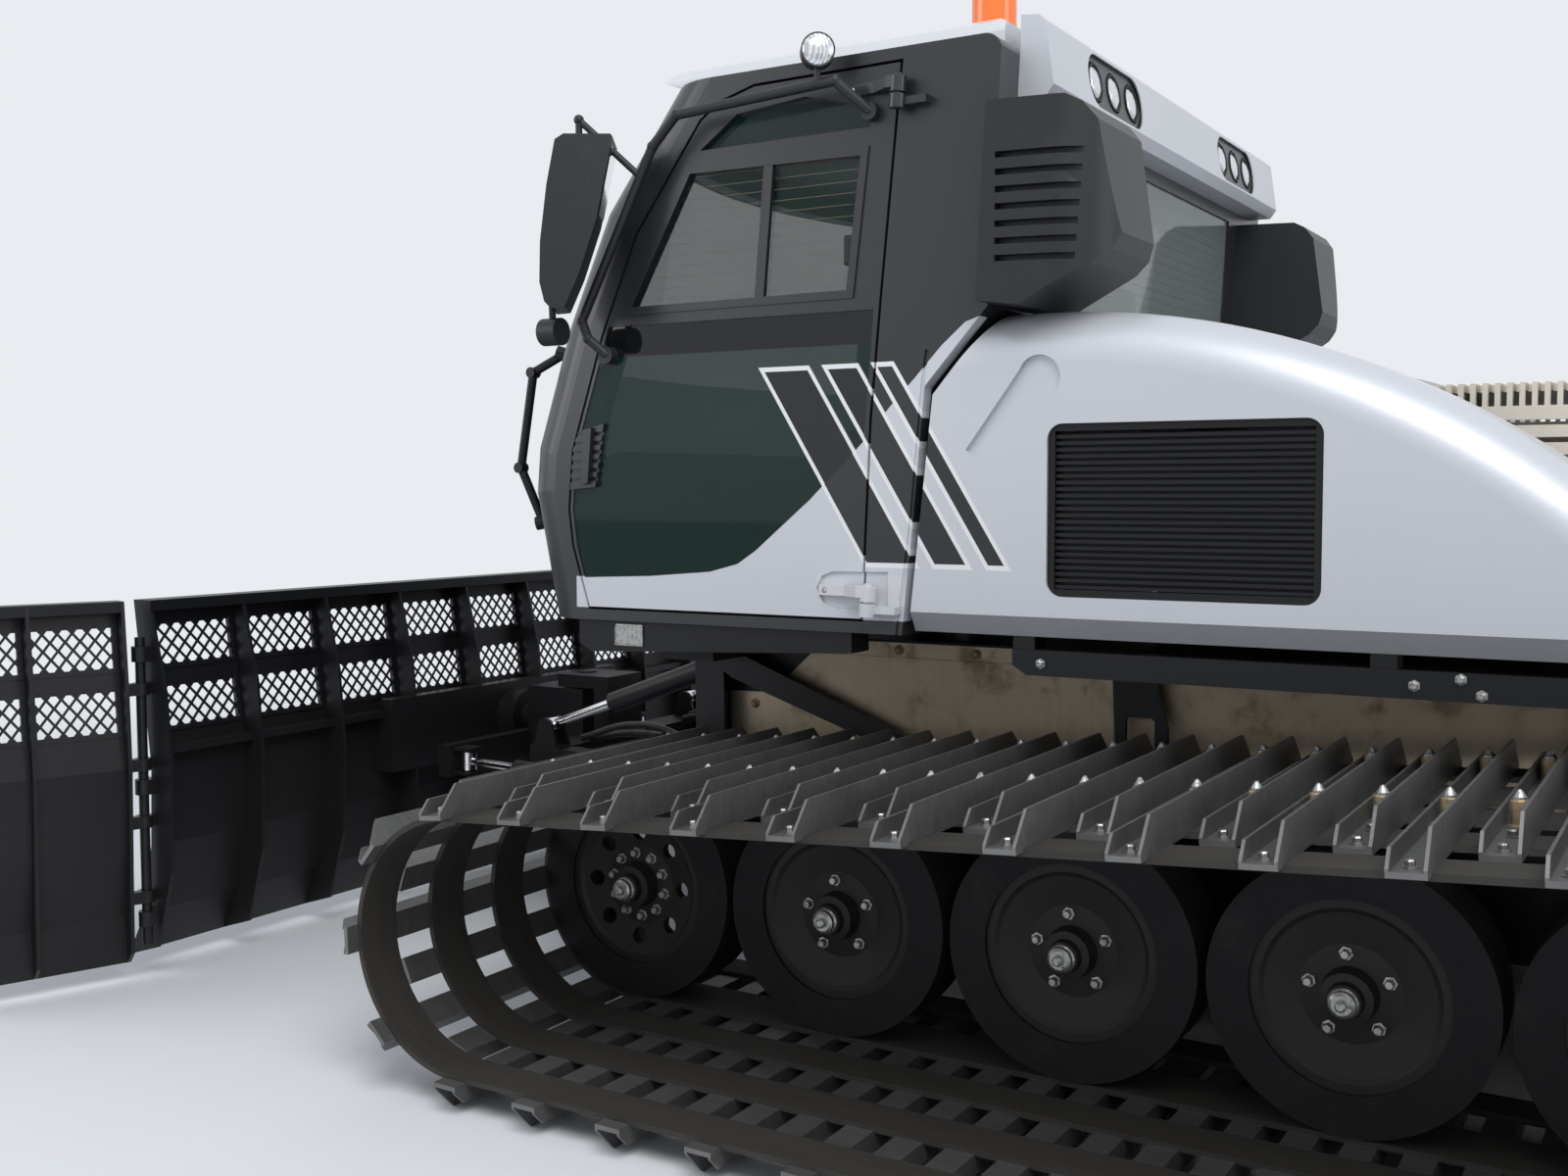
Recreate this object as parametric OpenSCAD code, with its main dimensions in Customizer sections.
// Snowcat groomer: tracked carrier with a front blade and a rear tiller.
// Millimetres. +X forward, +Y left, +Z up, origin on the ground under the middle of the machine.
// Inside the modules X is measured from the hub of the front road wheel, and from_hub() moves the
// finished piece to the machine's own origin.

/* [Running gear] */
// Distance between two road wheels
wheel_pitch = 690; // [680:5:760]
// Road wheels on each side
wheel_count = 5; // [4:1:6]
// Outer radius of the tyres
tyre_r = 335; // [300:5:335]
// Width of the tyres
tyre_w = 200; // [160:10:230]
// Outer face of the tyres from the centre line
tyre_face_y = 1280; // [1260:5:1300]
// Radius of the rims, where the tyres seat
rim_r = 232; // [200:4:250]
// Distance of the drive sprocket behind the last road wheel
sprocket_back = 800; // [760:10:900]
// Height of the drive sprocket above the wheel hubs
sprocket_lift = 265; // [200:5:300]
// Radius of the drive sprocket, inside the belts
sprocket_r = 290; // [250:5:320]

/* [Tracks] */
// Thickness of the rubber belts
belt_t = 15; // [10:1:20]
// Height of the tall leg of a track bar above its belt
bar_h = 80; // [60:2:95]
// Height of the low leg of a track bar
bar_low_h = 46; // [30:2:55]
// Width of a track bar across its two legs
bar_w = 74; // [60:2:84]
// Wall of a track bar
bar_t = 7; // [5:1:10]
// Distance between two track bars along the belt
bar_pitch = 133; // [125:1:150]
// Outer end of the long track bars from the centre line
track_outer_y = 2100; // [2060:10:2180]
// Inner end of the track bars from the centre line
track_inner_y = 800; // [770:5:810]
// How far the short bars end inside the long ones
bar_stagger = 190; // [100:10:240]

/* [Hull] */
// Half width of the hull
hull_half_w = 690; // [640:10:700]
// Underside of the hull above the ground
hull_low_z = 400; // [360:10:440]
// Deck of the hull above the ground
hull_top_z = 1150; // [1130:5:1160]

/* [Cab] */
// Half width of the cab
cab_half_w = 1250; // [1200:10:1280]
// Wall of the cab and whole door
cab_wall = 60; // [45:5:70]
// Underside of the cab
cab_low_z = 1225; // [1215:5:1235]
// Top of the cab under the roof skin
cab_top_z = 2790; // [2780:10:2850]
// Bulge of the windscreen ahead of the door pillar
screen_bulge = 300; // [200:20:400]
// Gap between a door and its frame
door_gap = 8; // [6:1:12]
// Thickness of the panes
glass_t = 6; // [4:1:10]

/* [Body] */
// Half width of the rear body
body_half_w = 1250; // [1200:10:1280]
// Wall of the rear body
body_wall = 40; // [25:5:50]
// Radius of the falling back of the body
body_arc_r = 2100; // [2050:10:2200]
// Crown of the body above the ground
body_crown_z = 2080; // [2070:5:2085]
// Radius of the shoulders between the hood's top and its sides
shoulder_r = 130; // [80:10:180]
// Height of the crease under which the sides turn inwards
crease_z = 1290; // [1275:5:1320]
// Slats in a side grille
slat_count = 24; // [16:1:28]

/* [Blade] */
// Half width of the fixed part of the blade
blade_half_w = 1700; // [1600:20:1800]
// Length of a blade wing
wing_len = 640; // [500:20:700]
// Height of the blade
blade_h = 1200; // [1150:10:1250]
// Distance of the blade's back plate ahead of the front hub
blade_x = 1640; // [1600:10:1720]
// Forward toe of the parked wings in degrees
wing_toe = 20; // [0:5:30]

/* [Tiller] */
// Half width of the tiller
tiller_half_w = 2050; // [1900:25:2075]
// Radius over the tines of the tiller drum
tine_r = 190; // [160:5:195]
// Radius of the drum tube
drum_r = 95; // [80:5:110]

/* [Hidden] */

fit = 0.3;

// Heights and places that follow from the driving dimensions
hub_z = tyre_r + belt_t + bar_h;
last_x = -wheel_pitch * (wheel_count - 1);
sprocket_x = last_x - sprocket_back;
sprocket_z = hub_z + sprocket_lift;
hull_front_x = 130;
hull_back_x = sprocket_x - 260;

// X of a wing's pin from the blade's back plate, and X of the blade's top edge there
wing_pin_x = 30;
blade_top_x = 95;
blade_reach = blade_x + wing_pin_x + (blade_top_x - wing_pin_x) * cos(wing_toe) + wing_len * sin(wing_toe);
tiller_x = hull_back_x - 760;
flap_back_x = tiller_x - 900;
hub_x = -(blade_reach + flap_back_x) / 2;

module from_hub() { translate([hub_x, 0, 0]) children(); }
module both_sides() { children(); mirror([0, 1, 0]) children(); }
// Draws a side view profile of X and Z points as a slab from y0 to y1.
module slab(y0, y1) { translate([0, y1, 0]) rotate([90, 0, 0]) linear_extrude(y1 - y0) children(); }
module round_y(r, y0, y1, fn = 48) { translate([0, y1, 0]) rotate([90, 0, 0]) cylinder(r = r, h = y1 - y0, $fn = fn); }
module block(low, high) { translate(low) cube(high - low); }
// A straight round bar between two points.
module bar(a, b, r, fn = 24) {
  v = b - a;
  translate(a) rotate([0, acos(v.z / norm(v)), atan2(v.y, v.x)]) cylinder(r = r, h = norm(v), $fn = fn);
}

// Moves each edge of a closed outline outwards by d; the outline runs anticlockwise.
function unit(v) = v / norm(v);
function edge_out(a, b) = let (v = unit(b - a)) [v.y, -v.x];
function grow(p, d) = [for (i = [0 : len(p) - 1])
  let (n1 = edge_out(p[(i + len(p) - 1) % len(p)], p[i]), n2 = edge_out(p[i], p[(i + 1) % len(p)]))
  p[i] + d * (n1 + n2) / (1 + n1 * n2)];

// TRACK LOOP
// The belts run round the front wheel, the last wheel and the sprocket: centre and radius of each.
loop_circles = [[0, hub_z, tyre_r], [last_x, hub_z, tyre_r], [sprocket_x, sprocket_z, sprocket_r]];
// Angle of the outer normal of the tangent that leads anticlockwise from circle a to circle b.
function tangent_angle(a, b) =
  atan2(b[1] - a[1], b[0] - a[0]) - acos((a[2] - b[2]) / norm([b[0] - a[0], b[1] - a[1]]));
function rim_point(c, angle, t = 0) = [c[0], c[1]] + (c[2] + t) * [cos(angle), sin(angle)];
// Anticlockwise seen from the right: sprocket, last wheel, front wheel.
loop_order = [loop_circles[2], loop_circles[1], loop_circles[0]];
loop_angles = [for (i = [0:2]) tangent_angle(loop_order[i], loop_order[(i + 1) % 3])];
function turn(a, b) = let (d = (b - a) % 360) d < 0 ? d + 360 : d;
// Per circle: the straight run that leaves it and the arc round the next circle.
loop_runs = [for (i = [0:2]) norm(rim_point(loop_order[(i + 1) % 3], loop_angles[i]) - rim_point(loop_order[i], loop_angles[i]))];
loop_turns = [for (i = [0:2]) turn(loop_angles[i], loop_angles[(i + 1) % 3])];
loop_arcs = [for (i = [0:2]) loop_turns[i] * PI / 180 * (loop_order[(i + 1) % 3][2] + belt_t)];
loop_length = loop_runs[0] + loop_runs[1] + loop_runs[2] + loop_arcs[0] + loop_arcs[1] + loop_arcs[2];
pair_count = round(loop_length / (2 * bar_pitch));
// Place of the first bar along the loop in steps, so that none has an edge where a straight run begins
bar_phase = 0.3;
bar_step = loop_length / (2 * pair_count);
// Place on the outer face of the belts after a length s: X, Z and the angle of the outer normal.
function loop_place(s, i = 0) =
  s <= loop_runs[i]
    ? let (a = rim_point(loop_order[i], loop_angles[i], belt_t), b = rim_point(loop_order[(i + 1) % 3], loop_angles[i], belt_t))
      concat(a + (b - a) * s / loop_runs[i], [loop_angles[i]])
    : s <= loop_runs[i] + loop_arcs[i]
      ? let (angle = loop_angles[i] + loop_turns[i] * (s - loop_runs[i]) / loop_arcs[i])
        concat(rim_point(loop_order[(i + 1) % 3], angle, belt_t), [angle])
      : loop_place(s - loop_runs[i] - loop_arcs[i], (i + 1) % 3);

// How far the straight runs lie inside their tangents, so that they cross the circles cleanly
run_in = 0.1;
module loop_shape(t) {
  for (c = loop_order) translate([c[0], c[1]]) circle(r = c[2] + t, $fn = 96);
  polygon([for (i = [0:2]) each [rim_point(loop_order[i], loop_angles[i], t - run_in),
    rim_point(loop_order[(i + 1) % 3], loop_angles[i], t - run_in)]]);
}
// Middle and width of each belt
belts = [[track_inner_y + 75, 130], [tyre_face_y - tyre_w / 2, 190], [1460, 130], [1725, 130], [track_outer_y - 105, 130]];

// How far the base of a track bar is let into the belts
bar_seat = 5;
// How far the end of a bar slants back over the height of its tall leg
bar_trim = 70;
// A track bar is a channel with a tall and a low leg along Y, its base on the belts and its ends trimmed.
module track_bar(y0, y1) {
  intersection() {
    translate([0, y1, 0]) rotate([90, 0, 0]) linear_extrude(y1 - y0) polygon([
      [-bar_w / 2, -bar_seat], [bar_w / 2, -bar_seat], [bar_w / 2, bar_low_h], [bar_w / 2 - bar_t, bar_low_h],
      [bar_w / 2 - bar_t, bar_t], [-bar_w / 2 + bar_t, bar_t], [-bar_w / 2 + bar_t, bar_h], [-bar_w / 2, bar_h]]);
    rotate([90, 0, 90]) translate([0, 0, -bar_w]) linear_extrude(2 * bar_w) polygon([
      [y0 - 1, -bar_seat - 1], [y1 + 1, -bar_seat - 1], [y1 + 1, bar_t + 4], [y1 - bar_trim, bar_h + 1],
      [y0 + bar_trim, bar_h + 1], [y0 - 1, bar_t + 4]]);
  }
}
module track() {
  for (b = belts) slab(b[0] - b[1] / 2, b[0] + b[1] / 2) difference() {
    loop_shape(belt_t);
    loop_shape(0);
  }
  for (k = [0 : 2 * pair_count - 1]) {
    p = loop_place((k + bar_phase) * bar_step);
    translate([p[0], 0, p[1]]) rotate([0, 90 - p[2], 0])
      track_bar(track_inner_y, track_outer_y - (k % 2) * bar_stagger);
  }
}
module track_left() { color("dimgray") from_hub() track(); }
module track_right() { color("dimgray") from_hub() mirror([0, 1, 0]) track(); }

// WHEELS
module tyre() {
  translate([0, tyre_face_y, 0]) rotate([90, 0, 0]) difference() {
    cylinder(r = tyre_r - fit, h = tyre_w, $fn = 64);
    translate([0, 0, -1]) cylinder(r = rim_r, h = tyre_w + 2, $fn = 64);
  }
}
module tyres() {
  color("black") from_hub() both_sides() for (i = [0 : wheel_count - 1])
    translate([-i * wheel_pitch, 0, hub_z]) tyre();
}
// Openings in the disc of the front wheels: count, radius of their circle and their own radius
disc_holes = [8, 158, 24];
module road_wheel(open_disc) {
  hub_r = 62;
  translate([0, tyre_face_y, 0]) rotate([90, 0, 0]) difference() {
    rotate_extrude($fn = 64)
      polygon([[0, -38], [40, -38], [44, -20], [hub_r, -16], [hub_r + 6, 28], [120, 34], [rim_r - 34, 18], [rim_r - 22, 10],
        [rim_r, 10], [rim_r, tyre_w - 10], [rim_r - 14, tyre_w - 10], [rim_r - 26, 52], [120, 58], [hub_r, 62],
        [hub_r, 110], [0, 110]]);
    if (open_disc) for (k = [0 : disc_holes[0] - 1]) rotate(k * 360 / disc_holes[0]) translate([disc_holes[1], 0, 0])
      cylinder(r = disc_holes[2], h = 90, $fn = 32);
  }
}
module road_wheels() {
  color("#1c1c1e") from_hub() both_sides() for (i = [0 : wheel_count - 1])
    translate([-i * wheel_pitch, 0, hub_z]) road_wheel(i == 0);
}
arm_len = 300;
arm_rise = 150;
module axle_arms() {
  color("#222222") from_hub() both_sides() for (i = [0 : wheel_count - 1])
    translate([-i * wheel_pitch, 0, hub_z]) {
      round_y(38, hull_half_w + 30, tyre_face_y - 110);
      slab(hull_half_w + fit, hull_half_w + 60) {
        circle(r = 70, $fn = 48);
        translate([arm_len, arm_rise]) circle(r = 60, $fn = 48);
        rotate(atan2(arm_rise, arm_len)) translate([0, -45]) square([norm([arm_len, arm_rise]), 90]);
      }
    }
}
sprocket_teeth = 18;
module drive_sprockets() {
  color("#2a2a2c") from_hub() both_sides() translate([sprocket_x, 0, sprocket_z]) {
    round_y(150, hull_half_w + panel_t + fit, 1000);
    // The toothed rings run in the gaps between the belts
    for (y = [955, 1310]) slab(y, y + 36) difference() {
      circle(r = sprocket_r + 7, $fn = 64);
      for (a = [0 : 60 : 300]) rotate(a) translate([190, 0]) circle(r = 52, $fn = 32);
      for (k = [0 : sprocket_teeth - 1]) rotate((k + 0.5) * 360 / sprocket_teeth) translate([sprocket_r + 12, 0])
        circle(r = 28, $fn = 32);
    }
    round_y(110, 980, 1325);
  }
}

// HULL
hull_profile = [[hull_back_x, hull_low_z + 190], [hull_back_x + 200, hull_low_z], [-150, hull_low_z],
  [hull_front_x, hull_low_z + 200], [hull_front_x, hull_top_z - 60], [40, hull_top_z], [hull_back_x, hull_top_z]];
push_pin = [hull_front_x + 110, 580];
push_pin_r = 30;
lift_pin_r = 20;
// Middle and width of the eyes between the ears, for the push frame and for the tiller frame
front_eye = [455, 86];
rear_eye = [330, 64];
ear_t = 30;
side_gap = 2;
run_gap = 0.05;
lift_a = [hull_front_x + 100, 1010];
tiller_pin = [hull_back_x - 90, 560];
tiller_lift_a = [hull_back_x - 60, 1000];
// Two ears on either side of an eye, with the pins that pass through it
module ears(eye, outline, pins) {
  for (y = [eye[0] - eye[1] / 2 - side_gap - ear_t, eye[0] + eye[1] / 2 + side_gap]) slab(y, y + ear_t) {
    polygon(outline);
    for (p = pins) translate(p[0]) circle(r = p[1] + 28, $fn = 48);
  }
  for (p = pins) translate([p[0].x, 0, p[0].y])
    round_y(p[1], eye[0] - eye[1] / 2 - side_gap - ear_t - 12, eye[0] + eye[1] / 2 + side_gap + ear_t + 12);
}
mount_r = 60;
tow_t = 40;
tow_bore_r = 21;
module hull() {
  color("#26282a") from_hub() {
    slab(-hull_half_w, hull_half_w) polygon(hull_profile);
    // Mounts under the cab floor
    for (x = [-60, -760]) for (y = [-560, 560])
      translate([x, y, hull_top_z - 1]) cylinder(r = mount_r, h = cab_low_z - fit - hull_top_z + 1, $fn = 48);
  }
}
// Ears for the push frame, the tiller frame and their cylinders, and a towing eye at each end
module hull_brackets() {
  color("#202224") from_hub() {
    both_sides() {
      ears(front_eye, [[hull_front_x, 500], [push_pin.x, push_pin.y - 50], [push_pin.x + 40, push_pin.y + 40],
        [hull_front_x + 40, 720], [hull_front_x + 40, 900], lift_a + [30, -30], lift_a + [0, 45],
        [hull_front_x, hull_top_z - 80]], [[push_pin, push_pin_r], [lift_a, lift_pin_r]]);
      ears(rear_eye, [[hull_back_x, 1060], tiller_lift_a + [0, 45], tiller_lift_a + [-40, -20], [hull_back_x - 60, 900],
        [hull_back_x - 60, 700], tiller_pin + [-50, 20], tiller_pin + [0, -55], [hull_back_x, hull_low_z + 190]],
        [[tiller_pin, push_pin_r], [tiller_lift_a, lift_pin_r]]);
    }
    for (e = [[hull_front_x, 700, tow_reach], [hull_back_x, 780, -tow_reach]]) slab(-tow_t / 2, tow_t / 2) difference() {
      union() {
        translate([e[0] + min(e[2], 0), e[1] - 45]) square([abs(e[2]), 90]);
        translate([e[0] + e[2], e[1]]) circle(r = 45, $fn = 48);
      }
      translate([e[0] + e[2], e[1]]) circle(r = tow_bore_r, $fn = 48);
    }
  }
}
tow_reach = 75;
panel_t = 12;
module hull_side_panels() {
  color("#a08c6c") from_hub() both_sides() slab(hull_half_w + fit, hull_half_w + panel_t)
    polygon([[25, 800], [30, 957], [-150, 960], [-190, 975], [-190, 1012], [-285, 1098], [hull_back_x + 60, 1098], [hull_back_x + 60, 800]]);
  // Upper strip, lapped over the panels
  color("#a08c6c") from_hub() both_sides() slab(hull_half_w + fit, hull_half_w + panel_t + 6)
    polygon([[-264, 1100], [-288, hull_top_z - 5], [hull_back_x + 60, hull_top_z - 5], [hull_back_x + 60, 1100]]);
}
engine_size = [1150, 720, 420];
module engine() {
  color("#5c5c60") from_hub() translate([-2450, -engine_size.y / 2, hull_top_z]) cube(engine_size);
}

// REAR BODY
body_low_z = 1235;
crown_x = -1250;
arc_centre = [crown_x, body_crown_z - body_arc_r];
body_end_x = crown_x - 1650;
function body_arc_z(x) = arc_centre.y + sqrt(pow(body_arc_r, 2) - pow(x - crown_x, 2));
body_front = [[-905, body_low_z], [-975, 1870], [-1150, body_crown_z - 4]];
// How far the sides turn inwards below the crease
crease_in = 45;
// Half of the hood's section across the machine, as radius from the axis of its falling back and distance across
module shoulder_section(inset) {
  r = body_arc_r - inset;
  w = body_half_w - inset;
  c = shoulder_r - inset;
  translate([0, -w]) square([r - c, 2 * w]);
  translate([0, c - w]) square([r, 2 * (w - c)]);
  for (y = [c - w, w - c]) translate([r - c, y]) circle(r = c, $fn = 48);
}
// The hood is turned about that axis, so that its shoulders stay round all along
module body_solid(inset) {
  difference() {
    intersection() {
      translate([arc_centre.x, 0, arc_centre.y]) rotate([90, 0, 0]) rotate_extrude($fn = 240) shoulder_section(inset);
      slab(-body_half_w - 1, body_half_w + 1) polygon([[body_end_x + inset, body_low_z - (inset > 0 ? 1 : 0)],
        [body_front[0].x - inset, body_low_z - (inset > 0 ? 1 : 0)], [body_front[1].x - inset, body_front[1].y],
        [body_front[2].x - inset, body_front[2].y], [body_front[2].x - inset, 3000], [body_end_x + inset, 3000]]);
    }
    both_sides() rotate([90, 0, 90]) translate([0, 0, body_end_x - 10]) linear_extrude(-body_end_x)
      polygon([[body_half_w - inset - crease_in, body_low_z - 2], [body_half_w + 10, body_low_z - 2],
        [body_half_w + 10, crease_z], [body_half_w - inset, crease_z]]);
  }
}
grille_low = [-1985, 1345];
grille_high = [-1300, 1785];
grille_r = 40;
module grille_opening(gap = 0) {
  low = grille_low - [gap, gap];
  high = grille_high + [gap, gap];
  r = grille_r + gap;
  translate([low.x + r, low.y]) square([high.x - low.x - 2 * r, high.y - low.y]);
  translate([low.x, low.y + r]) square([high.x - low.x, high.y - low.y - 2 * r]);
  for (x = [low.x + r, high.x - r], z = [low.y + r, high.y - r]) translate([x, z]) circle(r = r, $fn = 48);
}
deck_half_w = 860;
deck_z = 1640;
deck_front_x = -1750;
scoop = [[-1275, 1905], [-1085, 1715]];
module body_shell() {
  color("silver") from_hub() difference() {
    body_solid(0);
    difference() {
      body_solid(body_wall);
      block([-5000, -deck_half_w - body_wall, deck_z - body_wall], [deck_front_x + body_wall, deck_half_w + body_wall, 3000]);
    }
    block([-5000, -deck_half_w, deck_z], [deck_front_x, deck_half_w, 3000]);
    both_sides() {
      slab(body_half_w - body_wall - 1, body_half_w + 1) grille_opening(1);
      // Drop-shaped air scoop above the grille
      slab(body_half_w - 16, body_half_w + 1) {
        translate(scoop[0]) circle(r = 58, $fn = 48);
        polygon([scoop[0] + [-40, -42], scoop[1] + [-12, -14], scoop[1] + [14, 8], scoop[0] + [36, 45]]);
      }
    }
  }
}
module side_grilles() {
  slat_step = (grille_high.y - grille_low.y - 2 * 20) / slat_count;
  color("#18181a") from_hub() both_sides() {
    slab(body_half_w - body_wall, body_half_w - 8) difference() {
      grille_opening(0);
      translate([grille_low.x + 18, grille_low.y + 18])
        square([grille_high.x - grille_low.x - 36, grille_high.y - grille_low.y - 36]);
    }
    for (i = [0 : slat_count - 1])
      block([grille_low.x + 17, body_half_w - body_wall + 4, grille_low.y + 20 + i * slat_step],
        [grille_high.x - 17, body_half_w - 14, grille_low.y + 20 + i * slat_step + 9]);
    // Screen behind the slats
    block([grille_low.x + 5, body_half_w - body_wall, grille_low.y + 25],
      [grille_high.x - 5, body_half_w - body_wall + 5, grille_high.y - 25]);
  }
}
rail_low_z = 1133;
rail_high_z = 1200;
// Y of the rail's inner and outer face, and of the plates between the hull and the tracks
rail_ys = [body_half_w - 100, body_half_w - 40];
post_ys = [track_inner_y - 52, track_inner_y - 30];
// Front edges of the posts that carry the rail
post_xs = [-1305, -2470];
module side_frames() {
  panel_y = hull_half_w + panel_t + 6 + fit;
  color("#141416") from_hub() both_sides() {
    // Rail under the edge of the body
    slab(rail_ys[0], rail_ys[1]) polygon([[body_end_x, rail_low_z], [-1230, rail_low_z], [-1190, rail_low_z + 25], [-1190, rail_high_z],
      [body_end_x, rail_high_z]]);
    for (x = [-1250, -2150, body_end_x + 60])
      block([x, rail_ys[0] - 20, rail_high_z - 20], [x + 60, body_half_w - crease_in - 2, body_low_z - fit]);
    for (x = post_xs) {
      slab(post_ys[0], post_ys[1]) difference() {
        polygon([[x, rail_high_z - 22], [x - 130, rail_high_z - 22], [x - 135, 1050], [x - 163, 950], [x - 163, 840], [x - 190, 790],
          [x + 8, 790], [x - 15, 840]]);
        polygon([[x - 42, 885], [x - 50, 877], [x - 120, 877], [x - 128, 885], [x - 128, 968], [x - 120, 976], [x - 50, 976], [x - 42, 968]]);
      }
      block([x - 163, panel_y, 790], [x - 15, post_ys[0] + 5, 812]);
      block([x - 130, panel_y, rail_high_z - 44], [x, rail_ys[0] + 10, rail_high_z - 22]);
    }
    // Beam and upright under the front of the cab, with the strut that runs back to the hull
    block([-130, hull_half_w + fit, 1092], [60, rail_ys[0] - 110, 1125]);
    slab(post_ys[0], post_ys[1]) polygon([[5, 790], [118, 790], [122, 1115], [-60, 1125], [-60, 1085], [10, 1050]]);
    block([40, hull_half_w + fit, 830], [64, post_ys[0] + 5, 1100]);
    slab(post_ys[0], post_ys[1]) polygon([[-35, 1095], [60, 1060], [-20, 1010], [-690, 790], [-850, 790]]);
    block([-845, panel_y, 790], [-700, post_ys[0] + 5, 812]);
    // Sill below the door
    slab(cab_half_w - 120, cab_half_w - 18)
      polygon([[-720, 1165], [190, 1125], [235, 1150], [235, cab_low_z - fit], [-720, cab_low_z - fit]]);
  }
}
guard_low = [deck_front_x - 900, deck_half_w - 260];
guard_high = [deck_front_x - 250, deck_z + 250];
guard_slots = 16;
module exhaust_guard() {
  color("#9c8a6c") from_hub() difference() {
    slab(-guard_low.y, guard_low.y) polygon([[guard_low.x, deck_z + fit], [guard_high.x, deck_z + fit],
      [guard_high.x, guard_high.y - 25], [guard_high.x - 25, guard_high.y], [guard_low.x + 60, guard_high.y],
      [guard_low.x, guard_high.y - 60]]);
    slab(-guard_low.y + 20, guard_low.y - 20) polygon([[guard_low.x + 20, deck_z - 10], [guard_high.x - 20, deck_z - 10],
      [guard_high.x - 20, guard_high.y - 45], [guard_high.x - 45, guard_high.y - 20], [guard_low.x + 80, guard_high.y - 20],
      [guard_low.x + 20, guard_high.y - 80]]);
    // Comb of slots over the top edges, and louvres in the sides
    for (i = [0 : guard_slots - 1]) {
      x = guard_low.x + 90 + i * (guard_high.x - guard_low.x - 180) / guard_slots;
      both_sides() block([x, guard_low.y - 90, guard_high.y - 60], [x + 16, guard_low.y + 1, guard_high.y + 1]);
    }
    for (z = [0 : 2]) both_sides()
      block([guard_low.x + 120, guard_low.y - 21, deck_z + 50 + z * 45], [guard_high.x - 120, guard_low.y + 1, deck_z + 64 + z * 45]);
  }
}

// CAB
// Side view of the door, anticlockwise from its lower rear corner: X from the front hub and height.
door_outline = [[-758, 1265], [180, 1265], [238, 1450], [252, 1560], [235, 1740], [118, 2080], [-12, 2370], [-240, 2670],
  [-300, 2712], [-420, 2745], [-878, 2750], [-815, 2130], [-785, 1809]];
// Places of the front pillar in side view with the lean of the screen there: X, height, degrees back
pillar_facets = [[380, 1400, -12], [417, 1640, 5], [368, 1910, 19], [260, 2225, 25], [129, 2545, 38]];
screen_r = 2600;
corner_r = 140;
cab_rear = [[-885, cab_low_z], [-948, 1890], [-1132, 2095], [-1169, cab_top_z]];
// X of the cab's rear face at a height above the body
function cab_rear_x(z) = cab_rear[2].x + (cab_rear[3].x - cab_rear[2].x) * (z - cab_rear[2].y) / (cab_rear[3].y - cab_rear[2].y);
// Plan of the cab with its curved front at X 0: a wide arc for the screen and an arc at each corner
module cab_plan(inset) {
  corner_y = cab_half_w - corner_r;
  corner_x = sqrt(pow(screen_r - corner_r, 2) - pow(corner_y, 2)) - screen_r;
  fan = atan2(corner_y, corner_x + screen_r);
  far = [corner_x + 900 * cos(fan), corner_y + 900 * sin(fan)];
  intersection() {
    translate([-screen_r, 0]) circle(r = screen_r - inset, $fn = 160);
    polygon([[-2300, inset - cab_half_w], [corner_x, inset - cab_half_w], [corner_x, -corner_y], [far.x, -far.y],
      far, [corner_x, corner_y], [corner_x, cab_half_w - inset], [-2300, cab_half_w - inset]]);
  }
  for (s = [-1, 1]) translate([corner_x, s * corner_y]) circle(r = corner_r - inset, $fn = 48);
}
module cab_solid(inset) {
  intersection() {
    slab(-cab_half_w + inset, cab_half_w - inset) polygon(grow([cab_rear[0], [1200, cab_low_z], [1200, cab_top_z],
      cab_rear[3], cab_rear[2], cab_rear[1]], -inset));
    intersection_for (p = pillar_facets)
      translate([p[0] + screen_bulge, 0, p[1]]) rotate([0, -p[2], 0]) translate([0, 0, -2500])
        linear_extrude(5000) cab_plan(inset);
  }
}
screen_half_w = 1010;
screen_low_z = 1470;
screen_high_z = 2660;
rear_window_half_w = 860;
rear_window_low_z = 2140;
rear_window_high_z = 2600;
// Door hinge: pin from the lower to the upper knuckle, outboard of the door
hinge_low = [-800, 1284, 1342];
hinge_high = [-889, 1284, 2690];
hinge_r = 12;
hinge_h = 60;
// Recess round a lower hinge: outline in the door and in the panel behind it
hinge_recess = [[-842, 1298], [-690, 1290], [-640, 1305], [-618, 1345], [-635, 1380], [-670, 1393], [-842, 1396]];
recess_t = 8;
function hinge_at(t) = hinge_low + (hinge_high - hinge_low) * t;
module along_hinge(t) {
  v = hinge_high - hinge_low;
  translate(hinge_at(t)) rotate([0, acos(v.z / norm(v)), atan2(v.y, v.x)]) children();
}
module cab_hinges() {
  for (t = [0, 1]) along_hinge(t) {
    translate([0, 0, -hinge_h - 8]) cylinder(r = hinge_r, h = hinge_h + 30, $fn = 32);
    translate([0, 0, -hinge_h - 8]) cylinder(r = 22, h = 36, $fn = 32);
  }
  for (t = [0, 1]) translate(hinge_at(t) - [0, hinge_low.y, 0])
    block([-80, cab_half_w - recess_t - 2, -hinge_h], [-5, hinge_low.y, -hinge_h + 20]);
}
module cab_shell() {
  color("#232528") from_hub() {
    both_sides() cab_hinges();
    cab_body();
  }
}
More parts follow.
